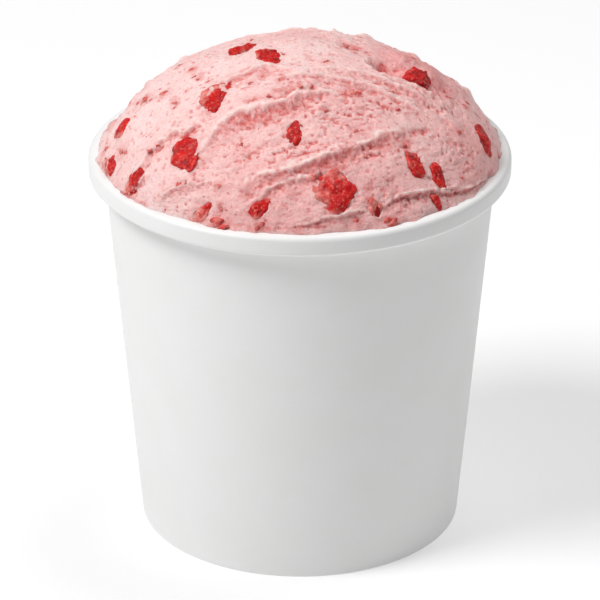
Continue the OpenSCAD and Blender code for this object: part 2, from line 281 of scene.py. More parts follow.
# Scraps of fruit on the side that faces the camera: map x, map y, size
SCRAPS = [
    (-56, -3, 1.1), (-47, -8, 1.0), (-43, -17, 0.7), (-43.5, -20, 0.5), (17, -24, 1.0),
    (19, -23, 0.8), (14.5, -24.5, 0.7), (-12, -16.5, 0.8), (-16, -19, 0.6), (-6, -17, 0.8),
    (-6.5, -20, 0.6), (59, -25, 0.9), (50, -32, 0.35), (37, -42, 0.8), (35, -46, 0.5),
    (8, -34, 0.6), (-21, -47.5, 0.6), (-22, -46.5, 0.35), (-38, -88, 1.5), (-37, -92, 1.4),
    (-46, -79, 1.1), (-42, -76, 0.8), (-49, -82, 0.9), (-91, -30, 1.2), (-89, -23, 1.0),
    (-82, -53.5, 1.1), (-78, -53, 0.9), (44, -88, 1.5), (41, -85, 1.3), (25, -86, 0.8),
    (24, -84, 0.5), (-18, -91, 0.8), (-20, -93, 0.6), (-31, -65, 0.7), (-73, -26, 1.1),
    (-71, -28, 0.7), (-68, -46, 0.9), (-75, -48, 1.0), (-33, -75, 0.5), (-33.5, -78, 0.5),
    (23, -52, 0.6), (26, -51, 0.7), (29, -50.5, 0.5), (-57, -36.5, 0.7), (-53, -36, 0.6),
    (-48, -60, 0.8), (-45, -60, 0.7), (5, -64, 0.8), (-35, -6, 0.5), (-34, -8, 0.45),
    (-10, -29, 0.7), (-4, -28, 0.6), (0, -24, 0.7), (4, -22.5, 0.6), (-25, -23, 0.6),
    (19, -42, 0.7), (21, -41, 0.5), (16, -40, 0.45), (33, -61, 0.4), (26, -67, 0.6), (27, -73, 0.6),
    (34, -76, 0.8), (50, -67, 0.4), (68, -47, 0.5), (53, -4, 0.9), (51, 0, 0.7), (62, -2, 0.8),
    (63, 4, 0.7), (30, -19, 0.8), (33, -27, 0.6), (30, -25, 0.5), (29, -28, 0.35), (38, 12, 1.0),
    (15, 10, 1.2), (18, 7, 1.0), (27, -4, 1.0), (26, -7, 0.7), (5, 12, 0.5), (-16, 20, 0.6),
    (47, -9, 0.7), (44, -7, 0.5), (2, -37, 0.4), (0, -41, 0.5), (-66, 12, 0.7), (-86, -12, 1.0),
]

# More scraps all round the mound, fine specks of fruit, and torn crumbs of ice cream
SCRAPS_ROUND = 130
SPECKS = 60
CRUMBS = 1500

# Crumbs: least and most radius and height, and the share of them that are pits
CRUMB_R = (0.28, 0.62)
CRUMB_LIFT = (0.07, 0.22)
PIT_SHARE = 0.6

# How deep a scrap sinks, as a share of its thickness, and the stain round it: its strength,
# and its reach as a multiple of the scrap's size
SCRAP_SUNK = 0.5
STAIN = 0.6
STAIN_REACH = 2.6

# Seeds of the random draws
CRUMB_SEED = 11
SIZE_SEED = 5
SCRAP_PLACE_SEED = 6
SPECK_PLACE_SEED = 7
TINT_SEED = 8
SCRAP_SHAPE_SEED = 21

# How sharply the relief ends at the edge, and how far the edge spreads over the rim
EDGE_HOLD = 16
EDGE_OUT = 0.6

# Depth of the opening over a strawberry piece, how closely a piece follows the relief round
# it, how much higher some pieces lie, and how high the ice cream stands where it covers one
SINK = 0.9
FOLLOW = 0.8
RAISED = {11: 0.9}
COVER_LIFT = 0.8

# How each strawberry piece is cut down from its CAD node: share of its width, share of
# its length, narrowing towards the front, and move sideways and ahead
TRIMS = {
    1: (0.95, 0.62, 0, -0.8, -0.4), 2: (0.95, 1.1, 0, 0, 0), 3: (1.0, 1.15, 0.25, -0.3, -0.2),
    4: (0.76, 1.0, 0.38, 0, -0.2), 5: (1.0, 1.35, -0.1, 0, 0), 6: (0.9, 0.98, -0.1, 0.1, 0.2),
    7: (0.95, 0.7, 0, 0.1, -0.3), 8: (0.88, 1.0, 0.1, 0.1, 0), 9: (0.85, 0.85, 0, 0.5, -0.2),
    10: (1.0, 1.15, 0, -0.3, -0.9), 11: (0.9, 1.2, 0, 1.2, -0.3), 12: (1.0, 0.8, 0, 0.4, 0.2),
    13: (0.9, 0.85, 0, 0, 0), 14: (1.0, 0.7, 0, -0.6, -0.5), 15: (0.85, 0.7, 0, 0, 0.3),
    16: (0.8, 0.7, 0, -0.9, -1.6), 17: (0.95, 0.9, 0, -0.2, -0.2),
}
WHOLE = (1, 1, 0, 0, 0)

# How frosted with ice cream each strawberry piece is, where it is not the usual
USUAL_FROST = 0.16
FROST = {
    2: 0.12, 3: 0.3, 4: 0.02, 5: 0.15, 6: 0.32, 8: 0.05, 9: 0.05, 10: 0.0, 11: 0.0, 12: 0.4,
    14: 0.7, 15: 0.4, 16: 0.1, 17: 0.3, 20: 0.4, 22: 0.5,
}

# Share of each strawberry piece that ice cream is smeared over, where it is not the usual
USUAL_COVER = 0.12
COVER = {
    2: 0.0, 3: 0.34, 4: 0.05, 6: 0.08, 7: 0.15, 8: 0.0, 9: 0.0, 10: 0.0, 11: 0.0, 12: 0.2, 14: 0.5,
    17: 0.3, 20: 0.35, 22: 0.3, 25: 0.35,
}


def turned(m, x, y, direction):
    """Distances on the map from (x, y), along and across a direction in degrees."""
    a = math.radians(direction)
    dx, dy = m[:, 0] - x, m[:, 1] - y
    return dx * math.cos(a) + dy * math.sin(a), dy * math.cos(a) - dx * math.sin(a)


def patch(m, x, y, long, short, direction):
    """A soft oval on the map."""
    along, across = turned(m, x, y, direction)
    return bell(np.hypot(along / long, across / short))


def beside(m, line):
    """For each map place: distance to the line, positive on its left, and share along it."""
    best = np.full(len(m), 1e9)
    side = np.ones(len(m))
    share = np.zeros(len(m))
    parts = len(line) - 1
    for k in range(parts):
        a, b = np.array(line[k], float), np.array(line[k + 1], float)
        along = np.clip(((m - a) @ (b - a)) / ((b - a) @ (b - a)), 0, 1)
        off = m - a - along[:, None] * (b - a)
        d = np.hypot(off[:, 0], off[:, 1])
        near = d < best
        cross = (b - a)[0] * (m - a)[:, 1] - (b - a)[1] * (m - a)[:, 0]
        best = np.where(near, d, best)
        side = np.where(near, np.where(cross >= 0, 1, -1), side)
        share = np.where(near, (k + along) / parts, share)
    return best * side, share


def fold(m, p, f, seed):
    """Height of one fold, and how far each place lies on its torn underside and on its lip, which gets a
    painted highlight.
    """
    rise, drop, above, below, ragged, line = f
    d, share = beside(m, line)
    reach = np.abs(d) < 4 * max(above, below)
    height, under, lip = np.zeros(len(m)), np.zeros(len(m)), np.zeros(len(m))
    d, share, q = d[reach], share[reach], p[reach]

    # the crest wanders, and the fold dies out towards its two ends
    tear = 0.7 * noise(q, 4.5, seed) + 0.3 * noise(q, 1.9, seed + 1) + 0.14 * noise(q, 0.8, seed + 2)
    d = d + ragged * tear
    fade = np.sin(np.pi * np.clip(share, 0, 1)) ** 0.45 * (1 + 0.25 * noise(q, 7, seed + 3))

    # a slow rise to the crest, a steep step, and a shallow trough below it
    top = rise * np.exp(-np.maximum(d, 0) / above)
    x = np.maximum(-d, 0) / below
    foot = rise * np.exp(-((1.7 * x) ** 2)) - drop * x * np.exp(1 - x) * smooth(0, 0.5, x)

    # small teeth along the crest, and torn grain on the underside
    jag = 0.6 + 0.8 * noise(q, 1.3, seed + 4) + 0.5 * noise(q, 0.7, seed + 5)
    teeth = 0.32 * bell((d - 0.55) / 0.7) * jag
    torn = smooth(-0.14, 0.1, -d / below) * (1 - smooth(1.2, 2.4, x))
    grain = torn * (0.16 * noise(q, 1.5, seed + 6) + 0.14 * noise(q, 0.75, seed + 7))
    height[reach] = fade * (np.where(d > 0, top, foot) + teeth + grain)
    under[reach] = fade * torn * min(1, rise + drop)
    # painted highlight along the lip, on the upper side just above the crest
    bright = fade * bell((d - 0.4 - rise) / (0.5 + rise)) * (0.4 + 0.9 * jag) * min(1, 1.6 * rise)
    lip[reach] = np.clip(bright, 0, 1)
    return height, under, lip


# ---- the mound's mesh

def mound_grid():
    """Rings of 6, 12, 18 ... map places round the top, and the triangles between them."""
    m, faces = [np.zeros((1, 2))], []
    for k in range(1, MOUND_RINGS + 1):
        a = np.arange(6 * k) * 2 * np.pi / (6 * k)
        m.append(100 * k / MOUND_RINGS * np.stack([np.cos(a), np.sin(a)], 1))
    first = [0] + [1 + 3 * k * (k - 1) for k in range(1, MOUND_RINGS + 1)]
    for k in range(1, MOUND_RINGS + 1):
        inner, outer, n_in, n_out = first[k - 1], first[k], max(1, 6 * (k - 1)), 6 * k
        for s in range(6):
            for i in range(k):
                o0 = outer + s * k + i
                o1 = outer + (s * k + i + 1) % n_out
                i0 = inner + (s * (k - 1) + i) % n_in
                faces.append((i0, o0, o1))
                if i < k - 1:
                    i1 = inner + (s * (k - 1) + i + 1) % n_in
                    faces.append((i0, o1, i1))
    return np.concatenate(m), np.array(faces), first[-1]


def blur(values, edges, rounds):
    """Averages values over the mesh's edges."""
    count = np.bincount(edges.ravel(), minlength=len(values))
    for _ in range(rounds):
        total = np.bincount(edges[:, 0], values[edges[:, 1]], len(values))
        total += np.bincount(edges[:, 1], values[edges[:, 0]], len(values))
        values = 0.5 * values + 0.5 * total / count
    return values


# Directions in which a strawberry piece's outline is measured
OUTLINE_STEPS = 48


class Fruit:
    """Place, outline and thickness of one strawberry piece, read from its CAD node."""

    def __init__(self, name):
        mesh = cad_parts[name].data
        co = np.unique(np.round(np.array([v.co for v in mesh.vertices]) / MM, 4), axis=0)
        self.name = name
        self.number = int(name.split("_")[1])
        self.middle = (co.min(0) + co.max(0)) / 2
        turn = math.asin(min(1, math.hypot(*self.middle[:2]) / EDGE_R))
        a = math.atan2(self.middle[1], self.middle[0])
        place = np.array([[math.cos(a), math.sin(a)]]) * turn / (np.pi / 2) * 100
        point, up, _ = on_map(place)
        self.up = up[0]
        self.side = np.cross([0, 1, 0], self.up)
        self.side /= np.linalg.norm(self.side)
        self.ahead = np.cross(self.up, self.side)
        self.surface = (point[0] - self.middle) @ self.up
        flat = np.stack([(co - self.middle) @ self.side, (co - self.middle) @ self.ahead])
        self.angles = np.arange(OUTLINE_STEPS) * 2 * np.pi / OUTLINE_STEPS
        ways = np.stack([np.cos(self.angles), np.sin(self.angles)], 1)
        reach = (ways @ flat).max(1)
        lean = np.maximum(ways @ ways.T, 0.05)
        self.outline = np.where(ways @ ways.T > 0.05, reach[None, :] / lean, 1e9).min(1)
        self.reach = self.outline.max()
        self.trim = TRIMS.get(self.number, WHOLE)

    def local(self, p):
        """Points as distances along the surface, sideways and ahead, and above the middle."""
        q = p - self.middle
        return q @ self.side, q @ self.ahead, q @ self.up

    def taper(self, y, narrow):
        """Share of the width that is left at each place along the piece."""
        return 1 + narrow * np.clip(y / self.reach, -1, 1)

    def trimmed(self, x, y):
        """Cuts a whole piece's distances down to the trimmed piece's."""
        wide, long, narrow, aside, ahead = self.trim
        return x * wide * self.taper(y, narrow) + aside, y * long + ahead

    def spread(self, p):
        """How far out along the surface: 0 at the middle, 1 at the outline."""
        x, y, _ = self.local(p)
        wide, long, narrow, aside, ahead = self.trim
        y = (y - ahead) / long
        x = (x - aside) / (wide * self.taper(y, narrow))
        edge = np.interp(np.arctan2(y, x) % (2 * np.pi), self.angles, self.outline, period=2 * np.pi)
        return np.hypot(x, y) / edge


fruits = [Fruit(name) for name in sorted(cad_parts) if name.startswith("strawberry")]


def splat(tree, height, centres, radii, lifts):
    """Adds a small round bump or pit to the height at each centre."""
    for c, r, h in zip(centres, radii, lifts):
        for _, i, d in tree.find_range(Vector(c), r * 1.6):
            height[i] += h * math.exp(-((d / r) ** 2) * 1.6)


def streaks(x, y, k, seed):
    """Noise that the scales of x and y stretch into rows, different for each drag mark k."""
    return noise(np.stack([x, y, x * 0 + k], 1), 1, seed + k)


def drag_marks(m, w, p, rough, height, pink):
    """Adds fine lines everywhere, and rows of torn pits over rough ground."""
    for k, (x, y, long, short, direction, spacing, h) in enumerate(DRAGS):
        along, across = turned(w, x, y, direction)
        weight = patch(m, x, y, long, short, direction)
        across = across + 0.5 * noise(p, 1.8, 160) + 0.7 * noise(p, 5, 161)
        along = along + 0.9 * noise(p, 1.5, 162)
        lines = streaks(along / 10, across / spacing * 1.3, k, 90)
        lines += 0.6 * streaks(along / 6, across / spacing * 2.9, k, 120)
        height += 1.4 * h * lines * weight
        rows = streaks(along / 4.6, across / 1.35, k, 150)
        rows += 0.55 * streaks(along / 2.2, across / 0.9, k, 170)
        torn = weight * smooth(0.25, 0.8, rough)
        height += torn * (0.11 * rows - 0.26 * smooth(0.3, 0.85, rows))
        # painted shade: the torn pits are tinted deeper pink
        pink += 0.55 * torn * smooth(0.35, 0.85, rows)


def cracks(w, p, height, pink):
    """Adds narrow torn cracks, tinted pink inside as painted shade."""
    for depth, width, line in CRACKS:
        d, share = beside(w, line)
        d = d + 0.5 * noise(p, 1.3, 140) + 0.25 * noise(p, 0.7, 143)
        mark = bell(d / width) * np.sin(np.pi * share) ** 0.4 * (0.75 + 0.5 * noise(p, 2.4, 141))
        height -= depth * np.maximum(mark, 0)
        np.maximum(pink, 0.95 * mark, out=pink)


def sculpt(m, p):
    """Height above the smooth mound, pinkness with its painted shade, roughness, torn undersides and the
    lips that get a painted highlight.
    """
    w = m + np.stack([cloud(p, 9, 2, 3), cloud(p, 9, 2, 8)], 1) * 0.8
    height, pink, under, lip = (np.zeros(len(m)) for _ in range(4))
    for x, y, spread, h in SWELLS + KNOBS:
        height += h * bell(np.hypot(m[:, 0] - x, m[:, 1] - y) / spread)
    for k, f in enumerate(FOLDS):
        h, u, edge = fold(w, p, f, 20 + 8 * k)
        height += h
        under = np.maximum(under, u)
        lip = np.maximum(lip, edge)
    rough = np.full(len(m), 0.1)
    for x, y, long, short, direction, strength in ROUGH:
        rough = np.maximum(rough, strength * patch(w, x, y, long, short, direction))
    rough = np.maximum(rough, 0.7 * under)
    rough = np.clip(rough * (1 + 0.45 * noise(p, 5, 71) + 0.3 * noise(p, 2.2, 72)), 0, 1.3)
    drag_marks(m, w, p, rough, height, pink)
    cracks(w, p, height, pink)

    # lumps, grain and sparse pores
    lumpy = 1 + 1.2 * smooth(-0.2, 0.6, noise(p, 11, 12))
    height += 0.24 * cloud(p, 7, 2, 5) + 0.1 * cloud(p, 3, 2, 6) * lumpy
    height += (0.025 + 0.1 * rough) * cloud(p, 0.95, 2, 7)
    pores = smooth(0.5, 0.95, noise(p, 0.95, 9) + 0.3 * noise(p, 2.6, 10) + 0.3 * (rough - 0.5))
    height -= (0.14 + 0.16 * rough) * pores
    # painted shade: pores are tinted deeper pink
    pink += (0.3 + 0.3 * rough) * pores

    # partly painted shade: these patches deepen the pink in hollows and under folds
    for x, y, long, short, direction, strength in PINK_AND_SHADE_PATCHES:
        spot = patch(w, x, y, long, short, direction)
        grainy = spot + 0.3 * noise(p, 1.6, 150) + 0.18 * noise(p, 0.8, 152)
        pink = np.maximum(pink, strength * smooth(0.25, 0.85, grainy))
    # painted shade: the torn undersides of the folds are tinted deeper pink
    pink = np.maximum(pink, 0.62 * under * (0.85 + 0.4 * noise(p, 2, 151) + 0.3 * noise(p, 0.9, 153)))
    # pink is taken off the lips, as part of their painted highlight
    pink = pink * (1 - 0.8 * lip)
    return height, pink, rough, under, lip


def set_round_fruit(p, height, pink):
    """Opens the mound over each strawberry piece, and smears ice cream over part of it."""
    taken = np.zeros(len(p))
    for fruit in fruits:
        near = np.linalg.norm(p - fruit.middle, axis=1) < 1.8 * fruit.reach
        q = p[near]
        round_it = bell(fruit.spread(q) / 1.3)
        fruit.lift = float(np.clip((height[near] * round_it).sum() / round_it.sum(), -1, 1)) * FOLLOW
        fruit.lift += RAISED.get(fruit.number, 0)
        out = fruit.spread(q) + 0.15 * noise(q, 2.2, 240 + fruit.number)
        out += 0.09 * noise(q, 0.9, 260 + fruit.number)
        cover = COVER.get(fruit.number, USUAL_COVER)
        creep = noise(q, 3.4, 200 + fruit.number) + 0.25 * noise(q, 1.1, 230)
        creep += 0.9 * (np.minimum(out, 1) - 0.75)
        veil = smooth(-0.12, 0.2, creep + 2.3 * (cover - 0.5))
        inside = 1 - smooth(0.84, 0.96, out)
        gap = (1 - veil) * bell((out - 0.9) / 0.08) * smooth(-0.2, 0.5, noise(q, 2.4, 231))
        height[near] += (fruit.lift - SINK - height[near]) * inside * (1 - veil) - 0.25 * gap
        height[near] += 0.16 * bell((out - 1.02) / 0.1) * (0.5 + 0.9 * noise(q, 1.4, 233))
        height[near] += COVER_LIFT * np.maximum(0, 1 - out**2) * veil
        halo = 0.55 * bell((out - 0.95) / 0.22) * (0.7 + 0.8 * noise(q, 1.1, 232))
        # painted shade: the gap round each piece is tinted dark pink; the halo round it is juice
        pink[near] = np.maximum(pink[near], np.maximum(0.6 * veil * inside, np.maximum(0.75 * gap, halo)))
        taken[near] = np.maximum(taken[near], 1 - smooth(0.95, 1.2, out))
    return taken


def close_below(points, first_edge):
    """Closes the mound past the rim's shoulder, down the wall and over the base."""
    size = 6 * MOUND_RINGS
    top = len(points)
    a = np.arange(size) * 2 * np.pi / size
    circle = np.stack([np.cos(a), np.sin(a)], 1)
    shoulder = RIM_TOP - RIM_TOP_R
    inner = [(wall_in(shoulder) + 0.3, shoulder + 0.75), (wall_in(shoulder) - 0.06, shoulder),
             (wall_in(FLOOR_Z) - 0.05, FLOOR_Z)]
    rings = [np.column_stack([circle * r, np.full(size, z)]) for r, z in inner]
    points = np.concatenate([points, *rings, [[0, 0, FLOOR_Z]]])
    i = np.arange(size)
    j = (i + 1) % size
    faces, start = [], first_edge
    for k in range(len(inner)):
        below = top + k * size
        faces.append(np.stack([start + i, below + i, below + j], 1))
        faces.append(np.stack([start + i, below + j, start + j], 1))
        start = below
    faces.append(np.stack([start + i, np.full(size, len(points) - 1), start + j], 1))
    return points, np.concatenate(faces)


def ice_cream():
    """The mound with its relief, closed below by the shape of the cup's inside."""
    m, faces, first_edge = mound_grid()
    p, n, t = on_map(m)
    pairs = np.concatenate([faces[:, [0, 1]], faces[:, [1, 2]], faces[:, [2, 0]]])
    edges = np.unique(np.sort(pairs, axis=1), axis=0)
    height, pink, rough, under, lip = sculpt(m, p)
    taken = set_round_fruit(p, height, pink)

    # a stain round each scrap, torn crumbs and chips along the folds and over rough ground
    random = np.random.default_rng(CRUMB_SEED)
    tree = KDTree(len(p))
    for i, co in enumerate(p):
        tree.insert(co, i)
    tree.balance()
    bits, sizes = scrap_places(m, taken)
    stain(tree, pink, bits, sizes)
    weight = (0.02 + rough * 0.4 + under * 1.0) * (t < 0.985) * (1 - taken) / np.maximum(0.2, t)
    chosen = random.choice(len(p), CRUMBS, replace=False, p=weight / weight.sum())
    radii = random.uniform(*CRUMB_R, CRUMBS)
    lifts = random.uniform(*CRUMB_LIFT, CRUMBS) * np.where(random.random(CRUMBS) < PIT_SHARE, -1.1, 1)
    splat(tree, height, p[chosen], radii, lifts)

    # the edge lies unevenly on the rim
    hold = 1 - t**EDGE_HOLD
    edge_wave = 0.3 * noise(p, 8, 31) + 0.22 * noise(p, 2.6, 32) + 0.08 * noise(p, 1.1, 33)
    height = height * hold + edge_wave * (1 - hold)
    # painted shade: a ragged band along the edge, where it meets the rim, is tinted pinker
    pink = pink + (1 - hold) * 0.45 * smooth(0.0, 0.7, noise(p, 4, 34) + 0.4 * noise(p, 1.2, 35))
    level = blur(height, edges, 14)
    points = p + n * height[:, None]
    spill = EDGE_OUT * (1 + 0.9 * noise(p, 6, 36) + 0.4 * noise(p, 2, 37))
    points[:, :2] *= (1 + spill / EDGE_R * t**EDGE_HOLD)[:, None]
    on_rim = np.maximum(points[:, 2], EDGE_Z - 0.02)
    points[:, 2] = np.where(t > 0.995, on_rim, points[:, 2])
    surface = points.copy()

    points, extra = close_below(points, first_edge)
    piece = mesh_piece("ice_cream_mound", points, np.concatenate([faces, extra]))
    set_value(piece, "pink", np.clip(pink, 0, 1.2))
    set_value(piece, "cavity", level - height)
    set_value(piece, "fine", blur(height, edges, 2) - height)
    set_value(piece, "shade", shade_and_tone(m, p))
    set_value(piece, "lip", lip * (1 - taken))
    return piece, tree, surface, n, bits, sizes


def shade_and_tone(m, p):
    """0 where the ice cream is palest, 1 where it is pinkest: mostly painted shade, with some colour that
    differs at random.
    """
    deep = np.zeros(len(m))
    for x, y, spread, strength in SHADE_AND_TONES:
        deep = np.maximum(deep, strength * bell(np.hypot(m[:, 0] - x, m[:, 1] - y) / spread))
    return np.clip(deep + 0.12 * cloud(p, 12, 3, 60), 0, 1)


def placed(origin, axes, x, y, z):
    """Points from their distances along three axes."""
    return origin + np.outer(x, axes[0]) + np.outer(y, axes[1]) + np.outer(z, axes[2])


def mesh_piece(name, points, faces):
    """A smooth-shaded mesh object from millimetre points."""
    mesh = bpy.data.meshes.new(name)
    mesh.from_pydata((np.asarray(points) * MM).tolist(), [], np.asarray(faces).tolist())
    mesh.validate()
    mesh.update()
    mesh.polygons.foreach_set("use_smooth", [True] * len(mesh.polygons))
    piece = bpy.data.objects.new(name, mesh)
    bpy.context.scene.collection.objects.link(piece)
    return piece


def set_value(piece, name, values):
    """Stores a number for each of a piece's points, and 0 where the values end early."""
    values = np.pad(values, (0, len(piece.data.vertices) - len(values)))
    attribute = piece.data.attributes.new(name, "FLOAT", "POINT")
    attribute.data.foreach_set("value", np.asarray(values, np.float32))


# ---- strawberry pieces

# Rounds of subdivision, and how much wider a piece becomes to make up for their rounding
FRUIT_LEVELS = 3
FRUIT_SPREAD = 1.284

# Power that flattens a piece's top, share of its height above the mound that is left, and
# the height above the mound that its top has at least
PLATEAU = 0.6
STAND = 0.4
PROUD = 0.3


def strawberry(fruit):
    """A torn, grainy piece of fruit grown from its CAD node, nearly level with the mound."""
    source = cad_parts[fruit.name].data
    co = np.array([v.co for v in source.vertices])
    unique, index = np.unique(np.round(co, 7), axis=0, return_inverse=True)
    index = index.ravel()
    faces = [[int(index[v]) for v in poly.vertices] for poly in source.polygons]
    faces = [f for f in faces if len(set(f)) == len(f)]
    start = mesh_piece(fruit.name + "_start", unique / MM, faces)
    start.modifiers.new("round", "SUBSURF").levels = FRUIT_LEVELS
    bpy.context.view_layer.update()
    fine = start.evaluated_get(bpy.context.evaluated_depsgraph_get()).to_mesh()
    co = np.zeros(len(fine.vertices) * 3)
    fine.vertices.foreach_get("co", co)
    co = co.reshape(-1, 3) / MM
    faces = [tuple(poly.vertices) for poly in fine.polygons]
    bpy.data.objects.remove(start)

    seed = 300 + 7 * fruit.number
    axes = (fruit.side, fruit.ahead, fruit.up)
    x, y, z = fruit.local(co)
    frayed = FRUIT_SPREAD * (1 + 0.1 * noise(co, 2.6, seed) + 0.06 * noise(co, 1.1, seed + 1))
    x, y = fruit.trimmed(x * frayed, y * frayed)
    top = z.max()
    z = np.where(z > 0, top * (np.maximum(z, 0) / top) ** PLATEAU, z)
    z = np.where(z > fruit.surface, fruit.surface + (z - fruit.surface) * STAND, z)
    z += max(0, fruit.surface + PROUD - z.max())
    co = placed(fruit.middle, axes, x, y, z)
    out = np.stack([x, y, z], 1)
    out = out / np.maximum(np.linalg.norm(out, axis=1), 0.1)[:, None]
    relief = 0.3 * noise(co, 2.4, seed + 2) + 0.2 * noise(co, 1.0, seed + 3)
    relief += 0.13 * noise(co, 0.6, seed + 4)
    torn = co + placed(0, axes, *out.T) * relief[:, None] + fruit.up * fruit.lift
    piece = mesh_piece("fruit_" + fruit.name.split("_")[1], torn, faces)
    set_value(piece, "relief", relief)
    edge = smooth(0.55, 1.05, fruit.spread(co))
    drift = noise(co, 3.2, seed + 5) + 0.4 * noise(co, 1.2, seed + 6)
    drift += 0.9 * (0.6 * y - x) / fruit.outline.max()
    amount = FROST.get(fruit.number, USUAL_FROST)
    frost = smooth(-0.2, 0.8, drift + 2 * (amount - 0.5) + 0.4 * edge) * min(1, 6 * amount)
    set_value(piece, "frost", frost)
    return piece


# Least and most length, width and thickness of a small bit, as shares of its size
BIT_SHAPE = [(0.8, 1.3), (0.6, 0.95), (0.35, 0.5)]


def ball():
    """Corners and faces of a small round ball."""
    mesh = bmesh.new()
    bmesh.ops.create_icosphere(mesh, subdivisions=2, radius=1)
    corners = np.array([v.co for v in mesh.verts])
    faces = np.array([[v.index for v in f.verts] for f in mesh.faces])
    mesh.free()
    return corners, faces


def scatter(name, places, sizes, tree, surface, n, sunk, seed):
    """Small torn bits lying half sunk in the surface at places on the map, as one piece."""
    random = np.random.default_rng(seed)
    corners, ball_faces = ball()
    points, faces = [], []
    smooth_points, _, _ = on_map(places)
    for k, (p, size) in enumerate(zip(smooth_points, sizes)):
        _, i, _ = tree.find(Vector(p))
        up = n[i]
        side = np.cross(up, random.normal(size=3))
        side /= np.linalg.norm(side)
        ahead = np.cross(up, side)
        stretch = size * np.array([random.uniform(*limits) for limits in BIT_SHAPE])
        place = corners * 1.3 + 9 * k
        torn = 1 + 0.42 * noise(place, 1, seed) + 0.3 * noise(place, 0.5, seed)
        q = corners * stretch * torn[:, None]
        middle = surface[i] - up * stretch[2] * sunk
        faces.append(ball_faces + k * len(corners))
        points.append(placed(middle, (side, ahead, up), *q.T))
    return mesh_piece(name, np.concatenate(points), np.concatenate(faces))


def scattered_places(count, seed, taken, m, reach=0.97):
    """Random places over the whole mound, clear of the strawberry pieces."""
    random = np.random.default_rng(seed)
    free = np.flatnonzero((taken < 0.05) & (np.hypot(m[:, 0], m[:, 1]) < 100 * reach))
    return m[random.choice(free, count, replace=False)]


# Map y from which the scraps are scattered at random
BACK_FROM = -15


def scrap_places(m, taken):
    """Map places and sizes of crushed scraps: those that show, and more all round."""
    shown = np.array([(x, y) for x, y, _ in SCRAPS], float)
    random = np.random.default_rng(SIZE_SEED)
    more = scattered_places(SCRAPS_ROUND, SCRAP_PLACE_SEED, taken, m)
    more = more[more[:, 1] > BACK_FROM]
    specks = scattered_places(SPECKS, SPECK_PLACE_SEED, taken, m)
    sizes = np.concatenate([[s for _, _, s in SCRAPS], random.uniform(0.3, 0.9, len(more)) ** 1.4,
                            random.uniform(0.16, 0.32, len(specks))])
    return np.concatenate([shown, more, specks]), sizes


def stain(tree, pink, places, sizes):
    """Tints the mound pink round each scrap."""
    middles, _, _ = on_map(places)
    for middle, size in zip(middles, sizes):
        for _, i, d in tree.find_range(Vector(middle), STAIN_REACH * size):
            pink[i] = max(pink[i], STAIN * math.exp(-((1.5 * d / (STAIN_REACH * size)) ** 2)))


def fruit_bits(places, sizes, tree, surface, n):
    """Crushed scraps of strawberry, sunk nearly level with the mound."""
    piece = scatter("fruit_scraps", places, sizes, tree, surface, n, SCRAP_SUNK, SCRAP_SHAPE_SEED)
    count = len(piece.data.vertices) // len(places)
    random = np.random.default_rng(TINT_SEED)
    set_value(piece, "relief", np.repeat(random.uniform(-0.2, 0.1, len(places)), count))
    set_value(piece, "frost", np.repeat(random.uniform(0.45, 1.0, len(places)), count))
    return piece


# ---- the cup

# Steps round the cup, up the outside wall, up the inside wall, and in each rounding
CUP_COUNT = 240
OUTSIDE_STEPS = 24
INSIDE_STEPS = 8
ARC_STEPS = 8

# The side seam: its place, the step over the lapped paper's edge, the width of that step,
# and how far round the lap fades out, in degrees apart from the step
SEAM_TURN = 96.0
SEAM_STEP = 0.4
SEAM_WIDTH = 0.15
SEAM_FADE = 8.0

# Rounding of the foot ring's edges
FOOT_ROUND = 0.3


def arc(x, z, r, start, end):
    """Points of a quarter round."""
    turn = np.radians(np.linspace(start, end, ARC_STEPS))
    return [(x + r * math.cos(a), z + r * math.sin(a)) for a in turn]


